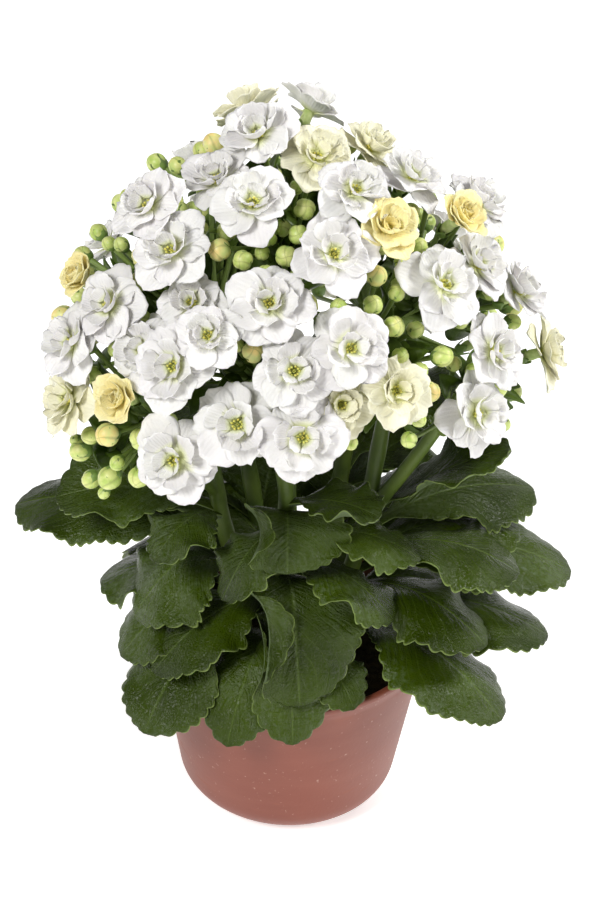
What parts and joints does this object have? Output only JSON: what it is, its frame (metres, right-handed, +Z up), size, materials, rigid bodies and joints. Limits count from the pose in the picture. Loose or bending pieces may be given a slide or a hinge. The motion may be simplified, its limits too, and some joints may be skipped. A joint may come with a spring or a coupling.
{
  "type": "potted flowering plant",
  "caption": "Double-flowered kalanchoe in a plain plastic pot: scalloped fleshy leaves under a dome of small white and yellow blooms and round buds.",
  "frame": {"origin": "middle of the pot's flat foot, on the surface that it stands on", "axes": "+Z up the plant, -Y towards its best side, +X to the right of someone who looks at that side"},
  "size_m": [0.211, 0.1744, 0.2943],
  "materials": {
    "pot_plastic": "matte moulded plastic, terracotta coloured",
    "peat": "rough, dark and moist",
    "leaf": "waxy and glossy",
    "petal_white": "soft and matte",
    "petal_cream": "soft and matte",
    "petal_yellow": "soft and matte"
  },
  "bodies": {
    "root": {"pot": "pot_plastic", "soil": "peat", "shoot_top": "leaf", "shoot_front": "leaf", "shoot_left": "leaf", "shoot_right": "leaf", "shoot_back_right": "leaf", "shoot_back_left": "leaf", "bloom_01": "petal_yellow", "bloom_02": "petal_yellow", "bloom_03": "petal_yellow", "bloom_04": "petal_yellow", "bloom_05": "petal_white", "bloom_06": "petal_white", "bloom_07": "petal_white", "bloom_08": "petal_white", "bloom_09": "petal_white", "bloom_10": "petal_white", "bloom_11": "petal_white", "bloom_12": "petal_cream", "bloom_13": "petal_cream", "bloom_14": "petal_white", "bloom_15": "petal_white", "bloom_16": "petal_white", "bloom_17": "petal_white", "bloom_18": "petal_cream", "bloom_19": "petal_white", "bloom_20": "petal_white", "bloom_21": "petal_white", "bloom_22": "petal_white", "bloom_23": "petal_white", "bloom_24": "petal_white", "bloom_25": "petal_white", "bloom_26": "petal_white", "bloom_27": "petal_white", "bloom_28": "petal_white", "bloom_29": "petal_white", "bloom_30": "petal_white", "bloom_31": "petal_cream", "bloom_32": "petal_cream", "bloom_33": "petal_cream", "bloom_34": "petal_white", "bloom_35": "petal_white", "bloom_36": "petal_white", "bloom_37": "petal_cream", "bloom_38": "petal_white", "bloom_39": "petal_white", "bloom_40": "petal_white", "bloom_41": "petal_white", "bloom_42": "petal_white", "bloom_43": "petal_white", "bloom_44": "petal_white", "bloom_45": "petal_white", "bloom_46": "petal_white", "bloom_47": "petal_cream", "bloom_48": "petal_white", "bloom_49": "petal_white", "bloom_50": "petal_white"}
  },
  "joints": []
}
